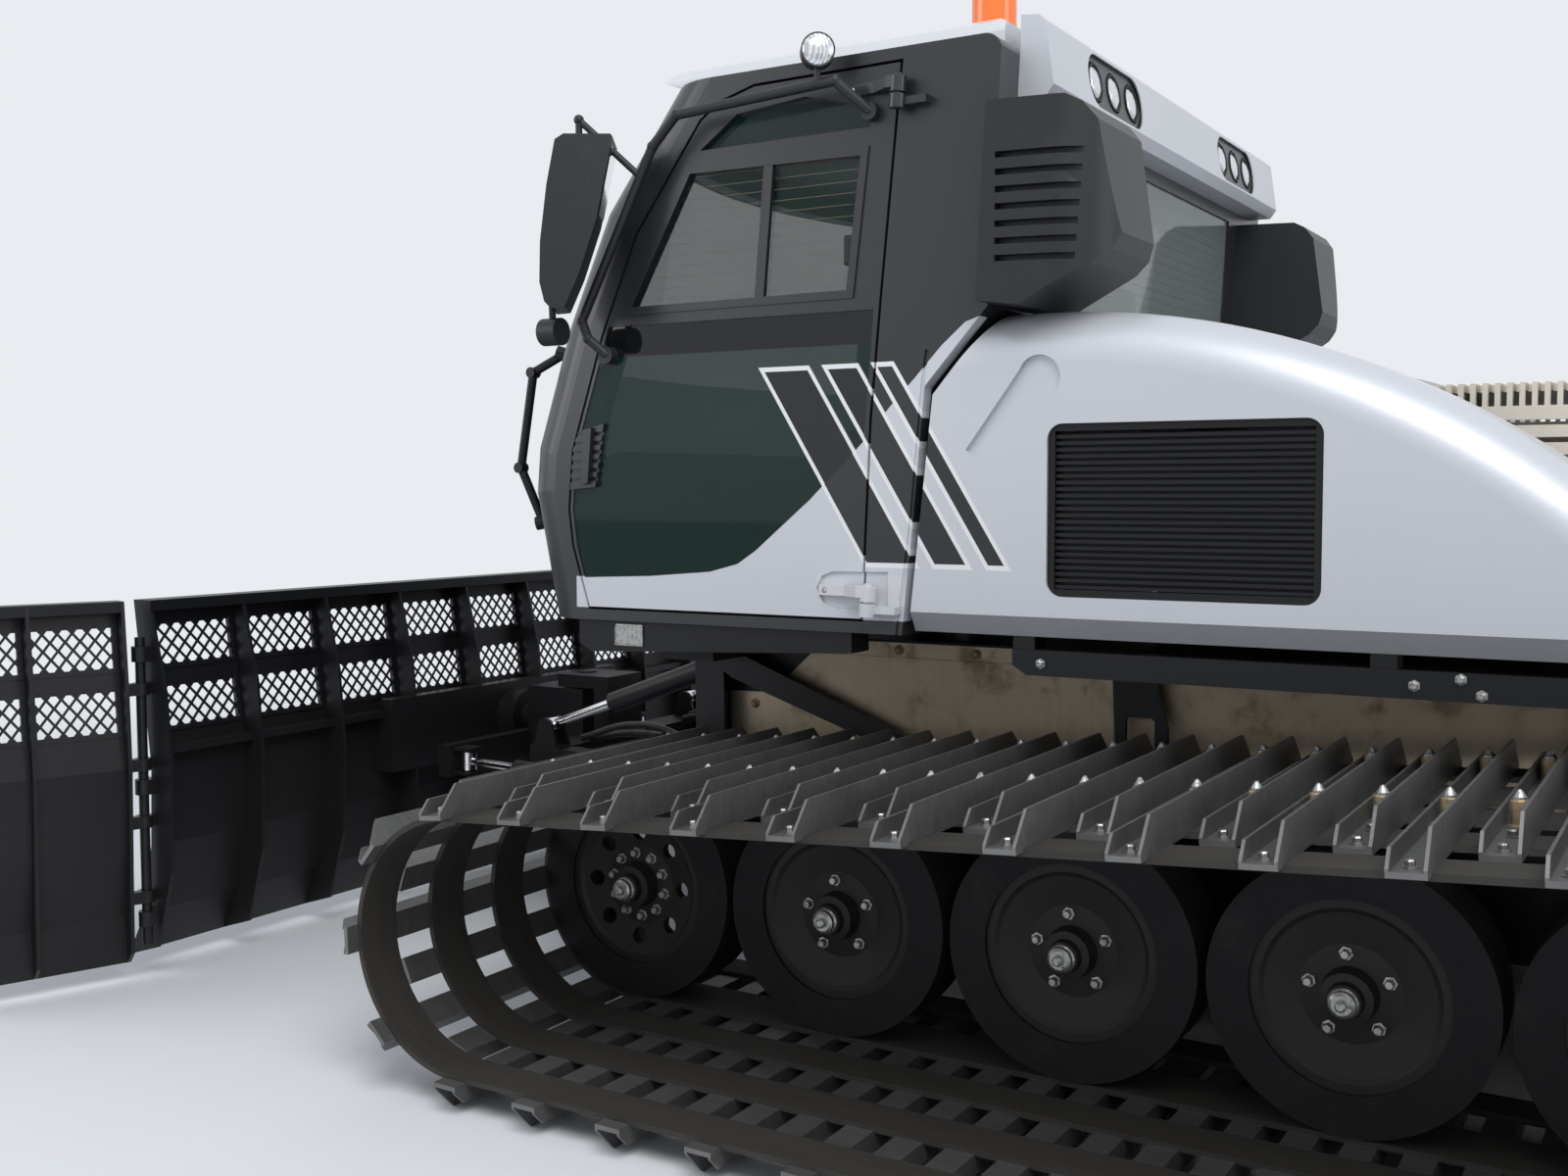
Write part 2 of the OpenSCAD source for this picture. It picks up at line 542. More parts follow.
// Groove down the panel behind the door
groove = [[-877, 1225], [-865, 1225], [-907, 1538], [-941, 1911], [-953, 1990], [-965, 1990], [-953, 1911], [-919, 1538]];
module cab_body() {
  difference() {
    cab_solid(0);
    cab_solid(cab_wall);
    both_sides() {
      slab(cab_half_w - cab_wall - 10, cab_half_w + 1) polygon(grow(door_outline, door_gap));
      slab(cab_half_w - recess_t, cab_half_w + 1) polygon(hinge_recess);
      slab(cab_half_w - 6, cab_half_w + 1) polygon(groove);
    }
    block([0, -screen_half_w, screen_low_z], [1200, screen_half_w, screen_high_z]);
    block([-1400, -rear_window_half_w, rear_window_low_z], [-1000, rear_window_half_w, rear_window_high_z]);
    // Round upper rear corner
    slab(-cab_half_w - 1, cab_half_w + 1) difference() {
      translate([cab_rear[3].x - 10, cab_top_z - 50]) square([60, 60]);
      translate([cab_rear[3].x + 50, cab_top_z - 50]) circle(r = 50, $fn = 48);
    }
  }
}
roof_half_w = 1120;
// Height of the roof panel over the cab
roof_h = 90;
roof_top_z = cab_top_z + roof_h;
module cab_roof() {
  color("white") from_hub() intersection() {
    slab(-roof_half_w, roof_half_w) polygon([[-1120, cab_top_z + fit], [-150, cab_top_z + fit], [-20, roof_top_z - 45],
      [-45, roof_top_z - 30], [-120, roof_top_z - 15],
      [-500, roof_top_z], [-1080, roof_top_z], [-1120, roof_top_z - 25]]);
    rotate([90, 0, 90]) translate([0, 0, -1200]) linear_extrude(1300) polygon([[-roof_half_w, cab_top_z - 1], [roof_half_w, cab_top_z - 1],
      [roof_half_w, roof_top_z - 50], [roof_half_w - 12, roof_top_z - 22], [roof_half_w - 45, roof_top_z - 6], [roof_half_w - 90, roof_top_z + 1],
      [90 - roof_half_w, roof_top_z + 1], [45 - roof_half_w, roof_top_z - 6], [12 - roof_half_w, roof_top_z - 22], [-roof_half_w, roof_top_z - 50]]);
  }
}
// Rear lamps: distance of each from the centre line, and the radius of its hole
lamp_ys = [470, 620, 770];
lamp_z = 2752;
lamp_hole_r = 58;
// Rear face of the bar at the height of the lamps, its lean, and the depths of the bezel's seat and of the lamp holes
bar_face_x = -1250;
bar_lean = atan(24 / 165);
bezel_depths = [10, 36];
module at_bar_face(y) { translate([bar_face_x, y, lamp_z]) rotate([0, 90 + bar_lean, 0]) children(); }
module rear_light_bar() {
  color("silver") from_hub() difference() {
    slab(-1130, 1130) polygon([[cab_rear_x(2640) - fit, 2640], [cab_rear[3].x - fit, cab_top_z],
      [cab_rear[3].x - fit, 2858], [-1220, 2852], [-1238, 2835], [-1262, 2670], [-1240, 2640]]);
    both_sides() {
      for (y = lamp_ys) at_bar_face(y) translate([0, 0, -40]) cylinder(r = lamp_hole_r, h = 40 + bezel_depths[1], $fn = 48);
      at_bar_face(0) translate([0, 0, -40]) linear_extrude(40 + bezel_depths[0]) {
        for (y = [lamp_ys[0], lamp_ys[2]]) translate([0, y]) circle(r = 76, $fn = 48);
        translate([-76, lamp_ys[0]]) square([152, lamp_ys[2] - lamp_ys[0]]);
      }
    }
  }
}
module pane_front() {
  intersection() {
    difference() {
      cab_solid(8);
      cab_solid(8 + glass_t);
    }
    block([0, -screen_half_w, screen_low_z], [1200, screen_half_w, screen_high_z]);
  }
}
module cab_glass() {
  color("#335544", 0.4) from_hub() {
    pane_front();
    intersection() {
      difference() {
        cab_solid(8);
        cab_solid(8 + glass_t);
      }
      block([-1400, -rear_window_half_w, rear_window_low_z], [-1000, rear_window_half_w, rear_window_high_z]);
    }
  }
}
// Openings of the side window, the small top window and the big lower window of a door, and the
// outline of the lower pane, which is bonded on from outside
window_outline = [[-735, 2140], [46, 2136], [-190, 2548], [-784, 2540]];
top_window_outline = [[-790, 2592], [-235, 2588], [-362, 2676], [-585, 2697], [-795, 2650]];
low_glass_outline = [[-40, 1402], [165, 1394], [188, 1470], [196, 1560], [180, 1730], [62, 2040], [-745, 2045], [-732, 1790],
  [-655, 1705], [-570, 1625], [-465, 1540], [-390, 1480], [-330, 1445], [-240, 1420]];
low_pane_outline = [[-44, 1364], [198, 1354], [226, 1450], [240, 1560], [223, 1740], [97, 2104], [-797, 2104], [-772, 1809],
  [-766, 1750], [-685, 1674], [-596, 1591], [-491, 1506], [-417, 1446], [-356, 1407], [-259, 1382]];
pane_seat = 9;
frame_w = 22;
vent_slots = 6;
module door_panel() {
  difference() {
    slab(cab_half_w - cab_wall + 5, cab_half_w) polygon(door_outline);
    slab(cab_half_w - cab_wall, cab_half_w + 1) {
      polygon(window_outline);
      polygon(top_window_outline);
      polygon(low_glass_outline);
    }
    slab(cab_half_w - pane_seat, cab_half_w + 1) polygon(grow(low_pane_outline, 1));
    slab(cab_half_w - recess_t, cab_half_w + 1) polygon(hinge_recess);
  }
  // Frame and middle bar of the sliding side window
  slab(cab_half_w - 30, cab_half_w + 5) difference() {
    polygon(grow(window_outline, 1));
    polygon(grow(window_outline, -frame_w));
  }
  slab(cab_half_w - 12, cab_half_w + 3) polygon([[-448, 2150], [-418, 2150], [-453, 2535], [-483, 2535]]);
  // Vent block with the door handle, on the front edge of the lower pane
  difference() {
    slab(cab_half_w - 2 - fit, cab_half_w + 12) polygon([[146, 1628], [242, 1620], [230, 1740], [212, 1792], [112, 1818]]);
    for (i = [0 : vent_slots - 1]) slab(cab_half_w + 4, cab_half_w + 13)
      polygon([[100, 1648 + i * 27], [250, 1642 + i * 27], [250, 1654 + i * 27], [100, 1660 + i * 27]]);
  }
  slab(cab_half_w + 2, cab_half_w + 24) polygon([[166, 1640], [190, 1636], [182, 1800], [150, 1806]]);
  for (t = [0, 1]) difference() {
    union() {
      along_hinge(t) translate([0, 0, -26]) cylinder(r = 22, h = 40, $fn = 32);
      translate(hinge_at(t) - [0, hinge_low.y, 0]) linear_extrude(30, center = true) polygon([
        [0, cab_half_w + 7], [0, hinge_low.y + 21], [30, hinge_low.y + 18], [85, cab_half_w + 17], [170, cab_half_w + 7],
        [170, cab_half_w - recess_t - 2], [95, cab_half_w - recess_t - 2], [75, cab_half_w + 7]]);
    }
    along_hinge(t) translate([0, 0, -60]) cylinder(r = hinge_r + run_gap, h = 120, $fn = 32);
  }
}
module door_panes() {
  slab(cab_half_w - 20, cab_half_w - 20 + glass_t) {
    polygon(grow(window_outline, -frame_w - 0.1));
    polygon(grow(top_window_outline, -0.1));
  }
  slab(cab_half_w - 2 * fit - 2 - glass_t, cab_half_w - 2 * fit - 2) polygon(low_pane_outline);
}
module door_left() { color("#202226") from_hub() door_panel(); }
module door_right() { color("#202226") from_hub() mirror([0, 1, 0]) door_panel(); }
module door_glass_left() { color("#335544", 0.4) from_hub() door_panes(); }
module door_glass_right() { color("#335544", 0.4) from_hub() mirror([0, 1, 0]) door_panes(); }
cab_floor_z = cab_low_z + cab_wall;
module seats() {
  color("#2b2b2d") from_hub() for (y = [-450, 450]) translate([-480, y, cab_floor_z]) {
    block([-180, -160, fit], [180, 160, 330]);
    block([-250, -260, 330], [260, 260, 450]);
    translate([-240, 0, 440]) rotate([0, -10, 0]) block([-60, -250, 0], [60, 250, 640]);
  }
}
module dashboard() {
  color("#1d1d1f") from_hub() {
    slab(-1000, 1000) polygon([[220, cab_floor_z + fit], [330, cab_floor_z + fit], [400, 1450], [400, 1700], [250, 1740], [200, 1650]]);
    block([-100, -120, cab_floor_z + fit], [260, 120, 1650]);
  }
}
pod_ys = [960, 1330];
pod_corner_r = 150;
pod_slots = 7;
module intake_pods() {
  color("#1f2022") from_hub() both_sides() difference() {
    intersection() {
      slab(pod_ys[0], pod_ys[1]) polygon([[cab_rear_x(2100) - fit, 2100], [cab_rear_x(2600) - fit, 2600], [-1370, 2592], [-1408, 2572],
        [-1440, 2530], [-1478, 2260], [-1465, 2215], [-1430, 2180], [-1250, 2085]]);
      // Round outer rear corner seen from above
      linear_extrude(3000) {
        translate([-1500, pod_ys[0] - 1]) square([500, pod_ys[1] - pod_ys[0] + 1 - pod_corner_r]);
        translate([-1480 + pod_corner_r, pod_ys[0] - 1]) square([500, pod_ys[1] - pod_ys[0] + 1]);
        translate([-1480 + pod_corner_r, pod_ys[1] - pod_corner_r]) circle(r = pod_corner_r, $fn = 64);
      }
    }
    for (i = [0 : pod_slots - 1]) slab(pod_ys[1] - 26, pod_ys[1] + 1) polygon([[-1185, 2195 + i * 43], [-1185, 2211 + i * 43],
      [-1395 - i * 3, 2204 + i * 43], [-1395 - i * 3, 2188 + i * 43]]);
  }
}
// X of the front skin of the cab at a place seen from ahead, on the wide arc of the screen
function cab_skin_x(y, z) = min([for (p = pillar_facets)
  p[0] + screen_bulge - (z - p[1]) * tan(p[2]) - (screen_r - sqrt(pow(screen_r, 2) - y * y)) / cos(p[2])]);
foot_h = 44;
foot_in = 22;
rail_r = 14;
// The skin's outward direction at a distance y from the centre line; lean is that of the facet there
function skin_out(y, lean) = let (c = sqrt(1 - pow(y / screen_r, 2))) [c * cos(lean), y / screen_r, c * sin(lean)];
// A round foot on the front skin, its axis square to the skin
module skin_foot(y, z, lean) {
  translate([cab_skin_x(y, z), y, z]) rotate([0, -lean, 0]) rotate([0, 0, asin(y / screen_r)]) rotate([0, 90, 0])
    translate([0, 0, 1]) cylinder(r = rail_r + 8, h = foot_h, $fn = 48);
}
function off_skin(y, z, lean, d) = [cab_skin_x(y, z), y, z] + d * skin_out(y, lean);
rail_corners = [[475, 1150, 1990], [530, 1150, 1690]];
module front_rails() {
  feet = [[2040, pillar_facets[2][2]], [1520, pillar_facets[0][2]]];
  color("#101012") from_hub() both_sides() {
    for (i = [0, 1]) {
      skin_foot(1100, feet[i][0], feet[i][1]);
      bar(off_skin(1100, feet[i][0], feet[i][1], foot_in), rail_corners[i], rail_r);
      translate(rail_corners[i]) round_y(rail_r + 3, -rail_r - 3, rail_r + 3);
    }
    bar(rail_corners[0], rail_corners[1], rail_r);
  }
}
// Tube that runs over the door and down its front edge, from foot to foot
door_tube = [[-795, 1266, 2628], [-720, 1325, 2706], [-205, 1325, 2678], [-120, 1322, 2600], [150, 1312, 2120], [140, 1298, 2070],
  [92, 1268, 2020]];
tube_r = 14;
tube_lamp = [-667, 1325, 2790];
// Side view of a mirror from its glass forwards: distance from the glass and height
mirror_side = [[0, 2626], [6, 2634], [140, 2634], [165, 2618], [190, 2490], [210, 2330], [213, 2215], [200, 2160], [182, 2140], [142, 2144],
  [100, 2240], [49, 2392]];
mirror_at = [-10, 1360, 0];
mirror_turn = 32.7;
module door_mirror() {
  for (k = [0 : len(door_tube) - 2]) bar(door_tube[k], door_tube[k + 1], tube_r);
  for (k = [1 : len(door_tube) - 2]) translate(door_tube[k]) sphere(r = tube_r + 2, $fn = 48);
  // Feet on the door and on the big pane
  translate([door_tube[0].x, 0, door_tube[0].z]) round_y(24, cab_half_w + fit, door_tube[0].y + 10);
  translate([door_tube[6].x, 0, door_tube[6].z]) round_y(26, cab_half_w - 2 - fit, door_tube[6].y + 10);
  // Lamp over the door
  translate([tube_lamp.x, tube_lamp.y, 2705]) cylinder(r = 9, h = 50, $fn = 32);
  translate(tube_lamp) rotate([0, -90, -55]) cylinder(r = 46, h = 46, center = true, $fn = 48);
  // Mirror with its arm, and the small lamp under it
  translate(mirror_at) rotate([0, 0, mirror_turn]) slab(-130, 40) polygon(mirror_side);
  bar([100, 1380, 2600], [100, 1380, 2690], 10);
  bar([100, 1380, 2690], [-75, 1322, 2520], 10);
  translate([100, 1380, 2690]) sphere(r = 15, $fn = 48);
  bar([158, 1440, 2160], [168, 1425, 2095], 10);
  translate([168, 1425, 2080]) rotate([0, 90, 0]) cylinder(r = 40, h = 64, center = true, $fn = 48);
}
module mirror_left() { color("#141416") from_hub() door_mirror(); }
module mirror_right() { color("#141416") from_hub() mirror([0, 1, 0]) door_mirror(); }
module beacon() {
  color("orangered") from_hub() translate([-1010, 940, roof_top_z + fit]) cylinder(r = 62, h = 105, $fn = 48);
}
module work_lamps() {
  color("#303236") from_hub() {
    // Lamps over the windscreen
    for (y = [-700, -350, 350, 700]) translate([40, y, cab_top_z]) {
      translate([0, 0, 56]) rotate([0, 90, 0]) cylinder(r = 44, h = 60, center = true, $fn = 48);
      translate([0, 0, fit]) cylinder(r = 14, h = 30, $fn = 32);
    }
    both_sides() {
      for (y = lamp_ys) at_bar_face(y) translate([0, 0, bezel_depths[1] - fit - 22]) cylinder(r = lamp_hole_r - 3, h = 22, $fn = 48);
      // Tail lamps on the end of the body
      block([body_end_x - 28, 1000, 1330], [body_end_x - fit, 1130, 1600]);
    }
  }
}

// BLADE
pivot_x = 1180;
pivot_z = 640;
angle_pin_r = 40;
tilt_pin_r = 60;
tilt_z = pivot_z + 40;
angle_z = pivot_z - 55;
lift_b = [pivot_x - 190, pivot_z + 95];
angle_a = [540, 640];
angle_b = [pivot_x + 150, 540];
eye_h = 68;
module push_frame() {
  color("#161618") from_hub() {
    both_sides() {
      slab(front_eye[0] - front_eye[1] / 2, front_eye[0] + front_eye[1] / 2) difference() {
        union() {
          translate(push_pin) circle(r = 55, $fn = 48);
          polygon([push_pin + [0, -50], [pivot_x - 150, pivot_z - 130], [pivot_x - 150, pivot_z + 20], push_pin + [0, 50]]);
        }
        translate(push_pin) circle(r = push_pin_r + run_gap, $fn = 48);
      }
      // Ears of the lift cylinder's rod
      for (y = [front_eye[0] - 43, front_eye[0] + 33]) slab(y, y + 10) {
        polygon([[lift_b.x - 60, pivot_z], [lift_b.x + 60, pivot_z], lift_b + [25, 25], lift_b + [-25, 25]]);
        translate(lift_b) circle(r = 32, $fn = 48);
      }
      // Shelves and pin of the angle cylinder
      for (z = [angle_z - eye_h / 2 - 17, angle_z + eye_h / 2 + 2])
        block([angle_a.x - 50, front_eye[0], z], [angle_a.x + 50, angle_a.y + 40, z + 15]);
      translate([angle_a.x, angle_a.y, angle_z - eye_h / 2 - 17]) cylinder(r = lift_pin_r, h = eye_h + 34, $fn = 48);
    }
    block([pivot_x - 260, -500, pivot_z - 130], [pivot_x - 120, 500, pivot_z + 20]);
    // Fork and pin that the head turns on
    for (z = [pivot_z - 160, pivot_z + 190])
      block([pivot_x - 140, -110, z], [pivot_x + 60, 110, z + 50]);
    block([pivot_x - 190, -110, pivot_z - 160], [pivot_x - 120, 110, pivot_z + 240]);
    translate([pivot_x, 0, pivot_z - 165]) cylinder(r = angle_pin_r, h = 410, $fn = 48);
  }
}
module blade_head() {
  color("#141416") from_hub() {
    difference() {
      union() {
        block([pivot_x - 70, -120, pivot_z - 105], [pivot_x + 210, 120, pivot_z + 185]);
        // Yoke between the angle cylinders
        block([pivot_x + 195, -angle_b.y - 60, angle_z - 60], [pivot_x + 250, angle_b.y + 60, angle_z + 60]);
      }
      translate([pivot_x, 0, pivot_z - 200]) cylinder(r = angle_pin_r + run_gap, h = 500, $fn = 48);
    }
    both_sides() for (z = [angle_z - eye_h / 2 - 18, angle_z + eye_h / 2 + 6])
      block([angle_b.x - 35, angle_b.y - 40, z], [pivot_x + 200, angle_b.y + 40, z + 12]);
    // Pin that the blade tilts on
    translate([pivot_x + 200, 0, tilt_z]) rotate([0, 90, 0]) cylinder(r = tilt_pin_r, h = 240, $fn = 48);
  }
}
blade_low_z = 60;
// The curved lower plate runs into a straight upper part with windows, from this X and height to the top
upper_from = [28, 650];
upper_lean = atan((blade_top_x - upper_from.x) / (blade_h - upper_from.y));
module moldboard_plate(y0, y1, toe) {
  slab(y0, y1) polygon([[toe, 0], [toe + 15, 0], [85, 150], [40, 380], upper_from, [blade_top_x, blade_h],
    [blade_top_x - 15, blade_h], upper_from - [15, 0], [25, 380], [70, 150]]);
}
module blade_rib(y) {
  slab(y, y + rib_t) polygon([[150, 0], [70, 150], [25, 380], upper_from - [15, 0], [blade_top_x - 15, blade_h], [20, blade_h],
    [-50, 900], [-70, 650], [-60, 300], [20, 40]]);
}
rib_t = 12;
rib_count = 9;
// Plain stretch below the two rows of windows, between them and above them
row_margins = [107.5, 45, 67.5];
window_h = (blade_h - upper_from.y - row_margins[0] - row_margins[1] - row_margins[2]) / 2;
// Distance of each row's middle up the slope from its foot
window_rows = [row_margins[0] + window_h / 2, row_margins[0] + row_margins[1] + window_h * 1.5];
window_lip = 16;
mesh_t = 5;
function bay_w(y0, y1, n) = (y1 - y0 - rib_t) / n - rib_t;
function bay_mid(y0, y1, n, i) = y0 + rib_t + bay_w(y0, y1, n) / 2 + i * (y1 - y0 - rib_t) / n;
// Places children at the middle of each window, X square to the upper plate with 0 on its rear face
module at_windows(y0, y1, n) {
  for (i = [0 : n - 1], row = window_rows)
    translate([upper_from.x - 15, bay_mid(y0, y1, n, i), upper_from.y]) rotate([0, upper_lean, 0]) translate([0, 0, row])
      children();
}
module windows(y0, y1, n) {
  at_windows(y0, y1, n) translate([-1, -bay_w(y0, y1, n) / 2 + window_lip, -window_h / 2 + window_lip])
    cube([40, bay_w(y0, y1, n) - 2 * window_lip, window_h - 2 * window_lip]);
}
// Expanded mesh: a sheet of w by h with nx by ny diamonds and those between them, strands half_s wide to each side
module diamond_sheet(w, h, nx, ny, half_s = 3.5) {
  a = w / nx / 2;
  b = h / ny / 2;
  centres = [for (i = [0 : nx - 1], j = [0 : ny - 1]) [(2 * i + 1) * a, (2 * j + 1) * b],
    for (i = [1 : nx - 1], j = [1 : ny - 1]) [2 * i * a, 2 * j * b]];
  polygon([[0, 0], [w, 0], [w, h], [0, h], for (c = centres) each [c + [half_s * 1.6 - a, 0], c + [0, half_s * 1.6 - b],
    c + [a - half_s * 1.6, 0], c + [0, b - half_s * 1.6]]],
    [[0, 1, 2, 3], for (k = [0 : len(centres) - 1]) [4 + 4 * k, 5 + 4 * k, 6 + 4 * k, 7 + 4 * k]]);
}
module mesh_sheets(y0, y1, n, nx, bite = -fit) {
  w = bay_w(y0, y1, n) - 4;
  at_windows(y0, y1, n) translate([bite - mesh_t, -w / 2, -window_h / 2]) rotate([90, 0, 90]) linear_extrude(mesh_t)
    diamond_sheet(w, window_h, nx, 3);
}
module blade_mesh() {
  color("#1a1a1c") from_hub() translate([blade_x, 0, blade_low_z]) mesh_sheets(-blade_half_w, blade_half_w, rib_count, 7);
}
wing_pin = [wing_pin_x, blade_half_w + 30];
wing_pin_r = 16;
lug_zs = [120, 560, 1000];
lug_h = 50;
module moldboard() {
  color("#131315") from_hub() translate([blade_x, 0, blade_low_z]) {
    difference() {
      moldboard_plate(-blade_half_w, blade_half_w, 150);
      windows(-blade_half_w, blade_half_w, rib_count);
    }
    for (i = [0 : rib_count]) blade_rib(-blade_half_w + (2 * blade_half_w - rib_t) * i / rib_count);
    // Rails behind the top edge and below the windows
    slab(-blade_half_w, blade_half_w) {
      polygon([[10, blade_h - 36], [85, blade_h - 36], [blade_top_x - 4, blade_h], [10, blade_h]]);
      polygon([[-30, 690], [upper_from.x - 5, 690], [upper_from.x - 5, 715], [-30, 715]]);
    }
    // Carrier tube and the eye on the tilt pin
    difference() {
      union() {
        block([-70, -700, 480], [-10, 700, 760]);
        for (y = [-700, 640]) block([-20, y, 480], [30, y + 60, 745]);
        translate([-160, 0, tilt_z - blade_low_z]) rotate([0, 90, 0]) cylinder(r = 110, h = 100, $fn = 48);
      }
      translate([-300, 0, tilt_z - blade_low_z]) rotate([0, 90, 0]) cylinder(r = tilt_pin_r + run_gap, h = 310, $fn = 48);
    }
    both_sides() for (z = lug_zs) translate([0, 0, z]) difference() {
      union() {
        translate(wing_pin) cylinder(r = 27, h = lug_h, $fn = 48);
        block([wing_pin.x - 27, blade_half_w - 10, 0], [wing_pin.x + 27, wing_pin.y, lug_h]);
      }
      translate([wing_pin.x, wing_pin.y, -1]) cylinder(r = wing_pin_r + run_gap, h = lug_h + 2, $fn = 48);
    }
  }
}
// Where a wing's plate starts from its pin, so that its front corner passes the blade's when folded forward
wing_start = 48;
module wing() {
  translate([blade_x + wing_pin.x, wing_pin.y, blade_low_z]) rotate([0, 0, -wing_toe]) {
    translate([0, 0, 60]) cylinder(r = wing_pin_r, h = 1020, $fn = 48);
    for (z = [200, 450, 640, 890]) {
      translate([0, 0, z]) cylinder(r = 26, h = 40, $fn = 48);
      block([-24, 0, z], [8, wing_start + 10, z + 40]);
    }
    translate([-wing_pin.x, 0, 0]) {
      difference() {
        moldboard_plate(wing_start, wing_len, 55);
        windows(wing_start, wing_len, 2);
      }
      for (y = [wing_start, (wing_start + wing_len - rib_t) / 2, wing_len - rib_t]) slab(y, y + rib_t)
        polygon([[55, 0], [70, 150], [25, 380], upper_from - [14, 0], [blade_top_x - 14, blade_h], [20, blade_h], [-10, 900],
          [-20, 650], [0, 300], [10, 40]]);
      slab(wing_start, wing_len) polygon([[20, blade_h - 36], [85, blade_h - 36], [blade_top_x - 4, blade_h], [20, blade_h]]);
      mesh_sheets(wing_start, wing_len, 2, 6, 1);
    }
  }
}
module wing_left() { color("#131315") from_hub() wing(); }
module wing_right() { color("#131315") from_hub() mirror([0, 1, 0]) wing(); }

// CYLINDERS
// A cylinder lies from eye to eye along its own X; its pins are along its own Y. Length l, rod end in at s.
module barrel(l, r, share, eye_w) {
  difference() {
    union() {
      rotate([0, 90, 0]) translate([0, 0, 30]) cylinder(r = r, h = l * share - 30, $fn = 48);
      round_y(40, -eye_w / 2, eye_w / 2);
    }
    rotate([0, 90, 0]) translate([0, 0, 60]) cylinder(r = r * 0.5 + fit, h = l, $fn = 48);
    round_y(lift_pin_r + run_gap, -eye_w / 2 - 1, eye_w / 2 + 1);
  }
}
module rod(l, r, inner, eye_w) {
  difference() {
    union() {
      rotate([0, 90, 0]) translate([0, 0, inner]) cylinder(r = r * 0.5, h = l - inner, $fn = 48);
      translate([l, 0, 0]) round_y(30, -eye_w / 2, eye_w / 2);
    }
    translate([l, 0, 0]) round_y(14, -eye_w / 2 - 1, eye_w / 2 + 1);
  }
}
module side_cylinder(a, y, b) {
  translate([a.x, y, a.y]) rotate([0, -atan2(b.y - a.y, b.x - a.x), 0]) children();
}
module plan_cylinder(a, z, b) {
  translate([a.x, a.y, z]) rotate([0, 0, atan2(b.y - a.y, b.x - a.x)]) rotate([90, 0, 0]) children();
}
cyl_r = 38;
lift_l = norm(lift_b - lift_a);
angle_l = norm(angle_b - angle_a);
module lift_barrels() {
  color("#1a1a1c") from_hub() both_sides() side_cylinder(lift_a, front_eye[0], lift_b) barrel(lift_l, cyl_r, 0.62, front_eye[1]);
}
module lift_rods() {
  color("lightgray") from_hub() both_sides() side_cylinder(lift_a, front_eye[0], lift_b) rod(lift_l, cyl_r, 0.5 * lift_l, 54);
}
module angle_barrel() { plan_cylinder(angle_a, angle_z, angle_b) barrel(angle_l, cyl_r - 8, 0.66, eye_h); }
module angle_rod() { plan_cylinder(angle_a, angle_z, angle_b) rod(angle_l, cyl_r - 8, 0.38 * angle_l, eye_h); }
module angle_barrel_left() { color("#1a1a1c") from_hub() angle_barrel(); }
module angle_rod_left() { color("lightgray") from_hub() angle_rod(); }
module angle_barrel_right() { color("#1a1a1c") from_hub() mirror([0, 1, 0]) angle_barrel(); }
module angle_rod_right() { color("lightgray") from_hub() mirror([0, 1, 0]) angle_rod(); }

// TILLER
drum_z = tine_r + 12;
drum_x = tiller_x - 60;
hood_top_z = 459;
tiller_lift_b = [tiller_x + 60, 690];
module tiller_frame() {
  color("#1a1a1c") from_hub() {
    both_sides() slab(rear_eye[0] - rear_eye[1] / 2, rear_eye[0] + rear_eye[1] / 2) difference() {
      union() {
        translate(tiller_pin) circle(r = 52, $fn = 48);
        polygon([tiller_pin + [0, -45], tiller_pin + [0, 45], [tiller_x + 20, hood_top_z + 140], [tiller_x + 20, hood_top_z + 20]]);
      }
      translate(tiller_pin) circle(r = push_pin_r + run_gap, $fn = 48);
    }
    both_sides() for (y = [rear_eye[0] - 45, rear_eye[0] + 33]) slab(y, y + 12) {
      polygon([[tiller_x, hood_top_z + 100], tiller_lift_b + [-25, 25], tiller_lift_b + [25, 25], [tiller_x + 120, hood_top_z + 100]]);
      translate(tiller_lift_b) circle(r = 32, $fn = 48);
    }
    block([tiller_x - 10, -700, hood_top_z + fit], [tiller_x + 130, 700, hood_top_z + 141]);
  }
}
module tiller_housing() {
  color("#8c8c8c") from_hub() difference() {
    slab(-tiller_half_w, tiller_half_w) polygon([[drum_x + 260, 120], [drum_x + 280, 330], [drum_x + 180, hood_top_z],
      [drum_x - 180, hood_top_z], [drum_x - 290, 320], [drum_x - 290, 120]]);
    slab(-tiller_half_w + 20, tiller_half_w - 20) {
      translate([drum_x, drum_z]) circle(r = tine_r + 30, $fn = 64);
      translate([drum_x - tine_r - 30, 0]) square([2 * tine_r + 60, drum_z]);
    }
  }
}
tines_along = 24;
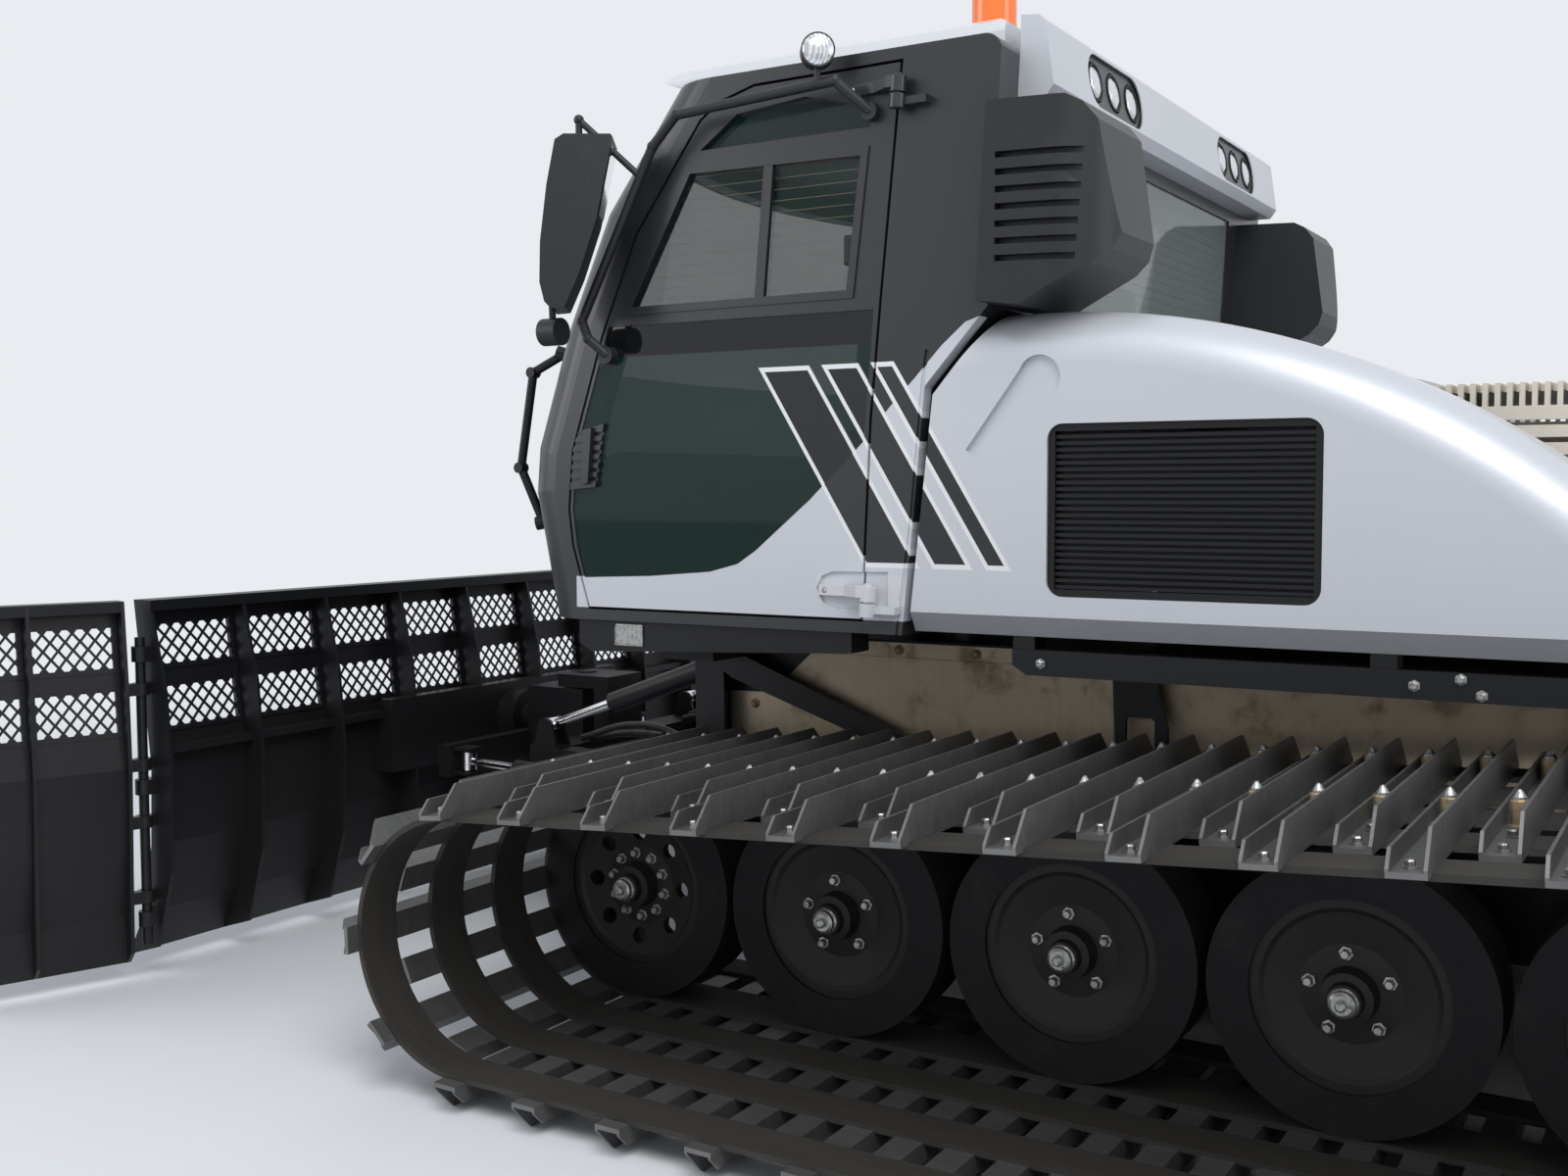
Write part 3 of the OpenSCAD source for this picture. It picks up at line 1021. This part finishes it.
module tiller_drum() {
  color("#3a3a3c") from_hub() translate([drum_x, 0, drum_z]) {
    round_y(drum_r, -tiller_half_w + 40, tiller_half_w - 40);
    for (i = [0 : tines_along - 1]) {
      y = (i + 0.5) * (2 * tiller_half_w - 160) / tines_along - tiller_half_w + 80;
      for (a = [0 : 3]) translate([0, y, 0]) rotate([0, a * 90 + i * 30, 0])
        slab(-10, 10) polygon([[-25, drum_r - 12], [25, drum_r - 12], [6, tine_r], [-6, tine_r]]);
    }
    both_sides() round_y(30, tiller_half_w - 41, tiller_half_w - 20 - fit);
  }
}
module finisher_flap() {
  color("#202022") from_hub() slab(-tiller_half_w + 60, tiller_half_w - 60)
    polygon([[drum_x - 290 - fit, 150], [drum_x - 290 - fit, 200], [drum_x - 500, 100], [flap_back_x, 35],
      [flap_back_x, 12], [drum_x - 480, 60]]);
}
tiller_lift_l = norm(tiller_lift_b - tiller_lift_a);
module tiller_barrels() {
  color("#1a1a1c") from_hub() both_sides()
    side_cylinder(tiller_lift_a, rear_eye[0], tiller_lift_b) barrel(tiller_lift_l, cyl_r - 8, 0.62, rear_eye[1]);
}
module tiller_rods() {
  color("lightgray") from_hub() both_sides()
    side_cylinder(tiller_lift_a, rear_eye[0], tiller_lift_b) rod(tiller_lift_l, cyl_r - 8, 0.5 * tiller_lift_l, 54);
}

hull();
hull_brackets();
hull_side_panels();
engine();
body_shell();
side_grilles();
side_frames();
exhaust_guard();
axle_arms();
road_wheels();
tyres();
drive_sprockets();
track_left();
track_right();
cab_shell();
cab_roof();
rear_light_bar();
cab_glass();
seats();
dashboard();
intake_pods();
mirror_left();
mirror_right();
front_rails();
beacon();
work_lamps();
door_left();
door_right();
door_glass_left();
door_glass_right();
push_frame();
blade_head();
moldboard();
blade_mesh();
wing_left();
wing_right();
lift_barrels();
lift_rods();
angle_barrel_left();
angle_rod_left();
angle_barrel_right();
angle_rod_right();
tiller_frame();
tiller_housing();
tiller_drum();
finisher_flap();
tiller_barrels();
tiller_rods();
